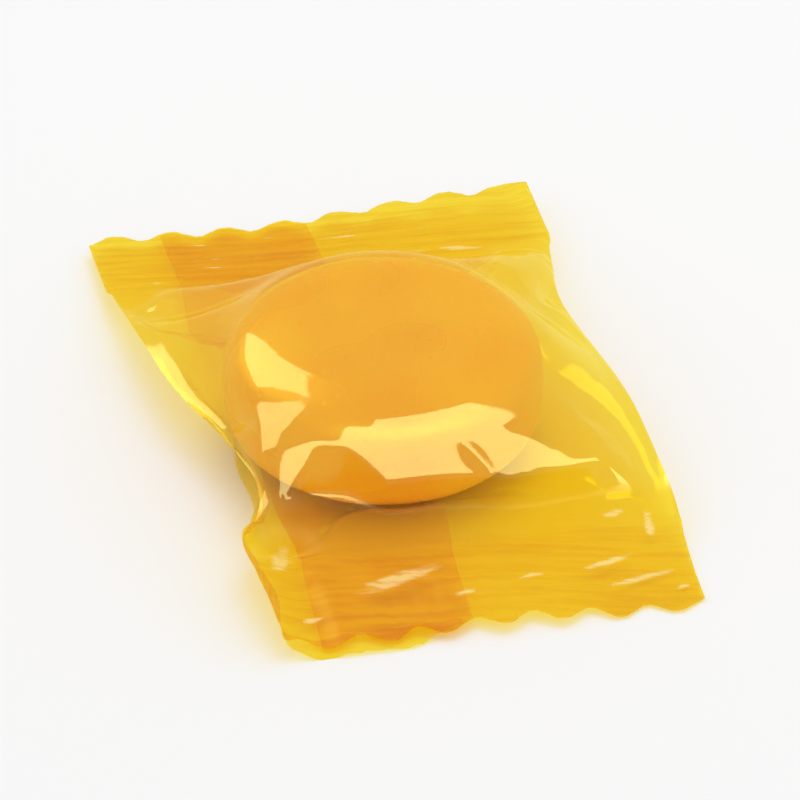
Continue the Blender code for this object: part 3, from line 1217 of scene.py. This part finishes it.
class Unevenness:
    """A shader node group that every finish here uses: soft noise as a height and a tone."""

    broad_share: float = 0.23
    tone_range: Pair = (0.3, 0.7)

    @classmethod
    def group(cls) -> bpy.types.NodeTree:
        """Build the group, or find it once it is built.

        Returns:
            The group, with the inputs Vector, Scale and Stretch.
        """
        known = bpy.data.node_groups.get("unevenness")
        if known is not None:
            return known
        tree = Tree(bpy.data.node_groups.new("unevenness", "ShaderNodeTree"))
        face = tree.tree.interface
        for name, kind in (("Vector", "NodeSocketVector"), ("Scale", "NodeSocketFloat")):
            face.new_socket(name, in_out="INPUT", socket_type=kind)
        face.new_socket("Stretch", in_out="INPUT", socket_type="NodeSocketFloat").default_value = 1.0
        for name in ("Height", "Tone"):
            face.new_socket(name, in_out="OUTPUT", socket_type="NodeSocketFloat")
        given = tree.tree.nodes.new("NodeGroupInput").outputs
        factors = {0: given["Vector"], 1: tree.vector(1.0, given["Stretch"], 1.0)}
        place = tree.add("ShaderNodeVectorMath", factors, operation="MULTIPLY").outputs[0]
        fine = tree.noise(Vector=place, Scale=given["Scale"], Detail=4.0, Roughness=0.55)
        broad_scale = tree.times(given["Scale"], cls.broad_share)
        tone = tree.ease(tree.noise(Vector=place, Scale=broad_scale, Detail=1.0), *cls.tone_range)
        tree.add("NodeGroupOutput", {"Height": fine, "Tone": tone})
        return tree.tree

    @classmethod
    def place(cls, tree: Tree, vector: Socket, scale: float, stretch: float = 1.0) -> tuple[Socket, Socket]:
        """Place the group in a material.

        Args:
            tree: The material's tree.
            vector: The pattern's coordinates.
            scale: The pattern's scale.
            stretch: How much finer it is along Y.

        Returns:
            The Height and Tone sockets.
        """
        inputs = {"Vector": vector, "Scale": scale, "Stretch": stretch}
        node = tree.tree.nodes.new("ShaderNodeGroup")
        node.node_tree = cls.group()
        for name, value in inputs.items():
            tree.feed(node.inputs[name], value)
        return node.outputs["Height"], node.outputs["Tone"]


def empty_material(name: str) -> tuple[bpy.types.Material, Tree]:
    """Make a new material without nodes.

    Args:
        name: The material's name.

    Returns:
        The material and its empty tree.
    """
    material = bpy.data.materials.new(name)
    material.use_nodes = True
    material.node_tree.nodes.clear()
    return material, Tree(material.node_tree)


@dataclass(frozen=True)
class PaintedHighlight:
    """One painted highlight: a pale streak where the crimped film would catch the light, with its place on
    the flat film, its half sizes and its slant.
    """

    x: float
    y: float
    length: float
    width: float
    slant: float
    edge: Pair = (1.35, -0.1)

    def mask(self, tree: Tree, x: Socket, y: Socket, ragged: Socket) -> Socket:
        """Mark the painted highlight.

        Args:
            tree: The material's tree.
            x: Flat position across the pack.
            y: Flat position along the pack.
            ragged: Unevenness of its edge.

        Returns:
            Its mask, 1 inside and 0 outside.
        """
        along = tree.minus(x, self.x)
        aside = tree.minus(y, tree.math("MULTIPLY_ADD", along, self.slant, self.y))
        shares = (tree.over(along, self.length), tree.over(aside, self.width))
        away = tree.plus(*(tree.times(share, share) for share in shares))
        return tree.ease(tree.plus(away, ragged), *self.edge)


@dataclass(frozen=True)
class FilmFinish:
    """Clear yellow film: each layer tints what is behind it and mirrors a little.

    Where it is crimped it is duller, with fine ripples along the cut and pale streaks of painted highlight
    where the crimp would catch the light.
    """

    tint: Colour = (0.985, 0.872, 0.20)
    ripple_tint: Colour = (0.955, 0.79, 0.12)
    mirror_tint: Colour = (1.0, 1.0, 0.42)
    # Cream colour of the painted highlight streaks, and of the faint even haze over all the film.
    highlight_and_haze_colour: Colour = (1.0, 0.84, 0.36)
    least_mirror: float = 0.052
    rim_mirror: float = 0.55
    rim_power: float = 5.0
    roughness: Pair = (0.045, 0.12)
    crimp_roughness: float = 0.26
    crimp_mirror: float = 0.16
    haze: float = 0.042
    crinkle: float = 0.09
    crinkle_depth: float = 0.10
    crinkle_scale: float = 0.55
    crinkle_stretch: float = 1.6
    dull_from: Pair = (18.7, 20.3)
    crimped_from: Pair = (21.5, 24.0)
    streak_slant: float = 0.12
    ripple_size: Pair = (9.0, 0.75)
    ripple_range: Pair = (0.42, 0.66)
    highlight_noise_size: Pair = (6.5, 1.0)
    highlight_noise_range: Pair = (0.65, 0.70)
    ragged_size: Pair = (2.8, 0.42)
    raggedness: float = 2.6
    highlight_cover: float = 0.60
    # Painted highlights on the front seal: pale streaks where its crimp would catch the light.
    painted_highlights: tuple[PaintedHighlight, ...] = (
        PaintedHighlight(-5.0, -26.5, 3.3, 0.78, 0.30),
        PaintedHighlight(-0.2, -28.9, 0.9, 0.32, 0.10),
        PaintedHighlight(5.3, -27.8, 1.1, 0.30, 0.20),
        PaintedHighlight(11.6, -26.7, 2.1, 0.34, 0.30),
        PaintedHighlight(13.8, -28.8, 2.7, 0.36, 0.26),
        PaintedHighlight(12.9, -21.9, 0.9, 0.30, 0.20),
        PaintedHighlight(15.6, -22.9, 0.42, 1.30, 0.0),
        PaintedHighlight(16.8, -30.2, 0.6, 0.30, 0.20),
        PaintedHighlight(-12.4, -29.6, 0.8, 0.30, 0.10),
        PaintedHighlight(-13.9, -23.3, 0.8, 0.95, 0.40),
    )

    def crimp_and_highlight_masks(self, tree: Tree, flat: Socket) -> tuple[Socket, Socket, Socket]:
        """Mark the crimped ends, their ripples and the painted highlight streaks on them.

        Args:
            tree: The material's tree.
            flat: Flat positions on the film, its third value telling the two sheets apart.

        Returns:
            The masks of the crimped ends, of the ripples and of the painted highlights.
        """
        x, y, side = tree.add("ShaderNodeSeparateXYZ", {0: flat}).outputs
        away = tree.math("ABSOLUTE", y)
        dull = tree.ease(away, *self.dull_from)
        crimped = tree.ease(away, *self.crimped_from)
        place = (x, tree.math("MULTIPLY_ADD", x, self.streak_slant, y), side)
        sizes = (self.ripple_size, self.highlight_noise_size, self.ragged_size)
        ripples, painted_highlights, ragged = (tree.drawn_noise(place, size, Detail=3.0) for size in sizes)
        ripples = tree.times(tree.ease(ripples, *self.ripple_range), crimped)
        # Painted highlight streaks: from noise on the back seal, and the listed ones on the front seal, on
        # the upper sheet only.
        at_back = tree.times(crimped, tree.math("GREATER_THAN", y, 0.0))
        painted_highlights = tree.times(tree.ease(painted_highlights, *self.highlight_noise_range), at_back)
        ragged = tree.times(tree.minus(ragged, 0.5), self.raggedness)
        for highlight_mark in self.painted_highlights:
            painted_highlights = tree.math("MAXIMUM", painted_highlights, highlight_mark.mask(tree, x, y, ragged))
        outer = tree.math("GREATER_THAN", side, 0.5)
        return dull, ripples, tree.times(painted_highlights, tree.times(outer, self.highlight_cover))

    def thinned(self, share: float) -> "FilmFinish":
        """Make the finish of a strip whose two faces together count as less than two layers.

        Args:
            share: The share of one layer that each face counts as.

        Returns:
            The paler finish.
        """
        colours = (self.tint, self.ripple_tint)
        tint, ripple_tint = (tuple(channel**share for channel in colour) for colour in colours)
        lighter = {"haze": self.haze * share, "least_mirror": self.least_mirror * share}
        return replace(self, tint=tint, ripple_tint=ripple_tint, **lighter)

    def material(self, name: str) -> bpy.types.Material:
        """Build the film's material.

        Args:
            name: The material's name.

        Returns:
            The material.
        """
        material, tree = empty_material(name)
        kept = tree.add("ShaderNodeAttribute", attribute_name="flat", attribute_type="GEOMETRY")
        flat = kept.outputs["Vector"]
        height, tone = Unevenness.place(tree, flat, self.crinkle_scale, self.crinkle_stretch)
        dull, ripples, painted_highlights = self.crimp_and_highlight_masks(tree, flat)
        bump = tree.bump(Strength=self.crinkle, Distance=self.crinkle_depth * MM, Height=height)
        rough = tree.ease(tone, 0.0, 1.0, *self.roughness)
        rough = tree.math("MULTIPLY_ADD", dull, self.crimp_roughness, rough)
        tint = tree.blend(ripples, self.tint, self.ripple_tint)
        clear = tree.add("ShaderNodeBsdfTransparent", {"Color": tint})
        glossy = {"Color": (*self.mirror_tint, 1.0), "Roughness": rough, "Normal": bump}
        mirror = tree.add("ShaderNodeBsdfGlossy", glossy)
        truth = tree.add("ShaderNodeNewGeometry").outputs["True Normal"]
        facing = tree.add("ShaderNodeLayerWeight", {"Blend": 0.5, "Normal": truth}).outputs["Facing"]
        rim = tree.math("POWER", facing, self.rim_power)
        share = tree.math("MULTIPLY_ADD", rim, self.rim_mirror, self.least_mirror)
        share = tree.times(share, tree.math("MULTIPLY_ADD", dull, self.crimp_mirror - 1.0, 1.0))
        film = tree.mixed(share, clear, mirror)
        # Painted highlights: a pale cream diffuse layer where the crimp would catch the light, and a faint
        # even haze of it over all the film.
        pale_highlight_and_haze = tree.add("ShaderNodeBsdfDiffuse", {"Color": (*self.highlight_and_haze_colour, 1.0)})
        hazed_and_highlighted = tree.mixed(tree.math("MAXIMUM", painted_highlights, self.haze), film, pale_highlight_and_haze)
        tree.add("ShaderNodeOutputMaterial", {"Surface": hazed_and_highlighted.outputs[0]})
        return material


@dataclass(frozen=True)
class SugarFinish:
    """Boiled butterscotch: amber, slightly cloudy, with a satin skin and small pits."""

    pale: Colour = (0.91, 0.545, 0.085)
    deep: Colour = (0.88, 0.465, 0.05)
    glow_share: float = 0.85
    glow_depth: float = 2.6
    glow_colour: Colour = (1.0, 0.42, 0.08)
    roughness: Pair = (0.24, 0.40)
    refraction: float = 1.5
    skin: float = 0.25
    skin_depth: float = 0.25
    skin_scale: float = 420.0
    pit_relief: float = 0.35
    pit_depth: float = 0.10
    pit_width: float = 0.28
    pit_scale: float = 900.0

    def material(self) -> bpy.types.Material:
        """Build the sugar's material.

        Returns:
            The material.
        """
        material, tree = empty_material("butterscotch")
        place = tree.add("ShaderNodeTexCoord").outputs["Object"]
        height, tone = Unevenness.place(tree, place, self.skin_scale)
        pattern = {"Vector": place, "Scale": self.pit_scale, "Randomness": 1.0}
        pits = tree.add("ShaderNodeTexVoronoi", pattern).outputs["Distance"]
        pit = tree.ease(pits, 0.0, self.pit_width)
        dents = tree.bump(Strength=self.pit_relief, Distance=self.pit_depth * MM, Height=pit)
        skin = tree.bump(Strength=self.skin, Distance=self.skin_depth * MM, Height=height, Normal=dents)
        sugar = {
            "Base Color": tree.blend(tone, self.deep, self.pale),
            "Roughness": tree.ease(tone, 0.0, 1.0, *self.roughness),
            "IOR": self.refraction,
            "Subsurface Weight": self.glow_share,
            "Subsurface Radius": self.glow_colour,
            "Subsurface Scale": self.glow_depth * MM,
            "Normal": skin,
        }
        shader = tree.add("ShaderNodeBsdfPrincipled", sugar)
        tree.add("ShaderNodeOutputMaterial", {"Surface": shader.outputs[0]})
        return material


@dataclass(frozen=True)
class FloorFinish:
    """A plain pale floor."""

    colour: Colour = (0.92, 0.92, 0.92)
    dimmed: float = 0.985
    tone_scale: float = 6.0
    roughness: float = 0.9

    def material(self) -> bpy.types.Material:
        """Build the floor's material.

        Returns:
            The material.
        """
        material, tree = empty_material("pale_floor")
        place = tree.add("ShaderNodeTexCoord").outputs["Object"]
        _, tone = Unevenness.place(tree, place, self.tone_scale)
        dimmer = tuple(channel * self.dimmed for channel in self.colour)
        paint = {
            "Base Color": tree.blend(tone, dimmer, self.colour),
            "Roughness": self.roughness,
            "Specular IOR Level": 0.0,
        }
        shader = tree.add("ShaderNodeBsdfPrincipled", paint)
        tree.add("ShaderNodeOutputMaterial", {"Surface": shader.outputs[0]})
        return material


def toward(bearing: float, height: float) -> Vector:
    """Work out a direction from the pack.

    Args:
        bearing: Degrees from straight in front towards the right.
        height: Degrees above the floor.

    Returns:
        The direction, of length 1.
    """
    turn, lift = math.radians(bearing), math.radians(height)
    return Vector((math.sin(turn) * math.cos(lift), -math.cos(turn) * math.cos(lift), math.sin(lift)))


@dataclass(frozen=True)
class Lamp:
    """A soft rectangular lamp that looks at the pack from a bearing and a height.

    Both are in degrees, and its distance and size in metres. It can light without being
    mirrored in the film, and be mirrored without lighting.
    """

    name: str
    bearing: float
    height: float
    distance: float
    size: Pair
    radiance: float
    lighting: bool = True
    mirrored: bool = True

    def hang(self) -> None:
        """Put the lamp in the scene."""
        data = bpy.data.lights.new(self.name, "AREA")
        data.shape = "RECTANGLE"
        data.size, data.size_y = self.size
        data.energy = self.radiance * math.pi * self.size[0] * self.size[1]
        lamp = new_object(self.name, data)
        way = toward(self.bearing, self.height)
        lamp.location = way * self.distance
        lamp.rotation_euler = way.to_track_quat("Z", "Y").to_euler()
        lamp.visible_diffuse = self.lighting
        lamp.visible_glossy = self.mirrored


@dataclass
class Studio:
    """Pale floor, soft light and the camera at the photograph's angle.

    Angles are in degrees, the lens in millimetres and the other sizes in metres.
    """

    azimuth: float = -14.0
    elevation: float = 35.0
    lens: float = 420.0
    distance: float = 0.73
    nearest: float = 0.01
    target: tuple[float, float, float] = (0.0005, -0.001, 0.003)
    floor_reach: float = 1.5
    film_layers: int = 40
    sky: float = 0.84
    lamps: tuple[Lamp, ...] = (
        Lamp("top_softbox", 140.0, 78.0, 0.42, (0.24, 0.24), 2.2, mirrored=False),
        Lamp("front_card", 5.0, 36.0, 0.30, (0.62, 0.17), 6.6, lighting=False),
        Lamp("left_card", -134.0, 40.0, 0.30, (0.24, 0.24), 5.2, lighting=False),
    )

    def floor(self) -> bpy.types.Object:
        """Lay the floor.

        Returns:
            The floor.
        """
        mesh = bpy.data.meshes.new("floor")
        reach = self.floor_reach
        corners = [(-reach, -reach, 0.0), (reach, -reach, 0.0), (reach, reach, 0.0), (-reach, reach, 0.0)]
        mesh.from_pydata(corners, [], [(0, 1, 2, 3)])
        mesh.materials.append(FloorFinish().material())
        obj = new_object("floor", mesh)
        return obj

    def light(self) -> None:
        """Hang the lamps under a plain white sky."""
        world = bpy.data.worlds.new("soft_white")
        bpy.context.scene.world = world
        world.use_nodes = True
        background = world.node_tree.nodes["Background"]
        background.inputs["Color"].default_value = (1.0, 1.0, 1.0, 1.0)
        background.inputs["Strength"].default_value = self.sky
        for lamp in self.lamps:
            lamp.hang()
        bpy.context.scene.view_settings.view_transform = "Standard"
        bpy.context.scene.cycles.transparent_max_bounces = self.film_layers

    def camera(self) -> None:
        """Point the camera at the pack."""
        data = bpy.data.cameras.new("view")
        data.lens = self.lens
        data.clip_start = self.nearest
        camera = new_object("view", data)
        back = toward(self.azimuth, self.elevation)
        camera.location = Vector(self.target) + back * self.distance
        camera.rotation_euler = (-back).to_track_quat("-Z", "Y").to_euler()
        bpy.context.scene.camera = camera


def join_frame(obj: bpy.types.Object, slot: Slot) -> None:
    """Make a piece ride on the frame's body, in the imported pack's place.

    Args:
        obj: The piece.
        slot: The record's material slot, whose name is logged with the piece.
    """
    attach(obj, "root")
    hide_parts("wrapper")
    LOG.info("%s: %d faces, %s", obj.name, len(obj.data.polygons), slot.value)


def main() -> None:
    """Build the pack's pieces and the studio round them."""
    logging.basicConfig(level=logging.INFO, format="%(name)s: %(message)s")
    studio = Studio()
    studio.floor()
    studio.light()
    studio.camera()
    sizes = PackSizes.from_frame("wrapper")
    film = FilmFinish()
    wrapper = Wrapper(sizes, levels=3)
    wrapper.settle()
    join_frame(wrapper.envelope(film.material("yellow_film")), Slot.FILM)
    join_frame(wrapper.fin(film.thinned(WELDED_SHARE).material("welded_yellow_film")), Slot.FILM)
    join_frame(wrapper.lip(film.thinned(SINGLE_SHARE).material("single_yellow_film")), Slot.FILM)
    join_frame(Drop(sizes).body(SugarFinish().material()), Slot.SUGAR)


if __name__ == "__main__":
    main()
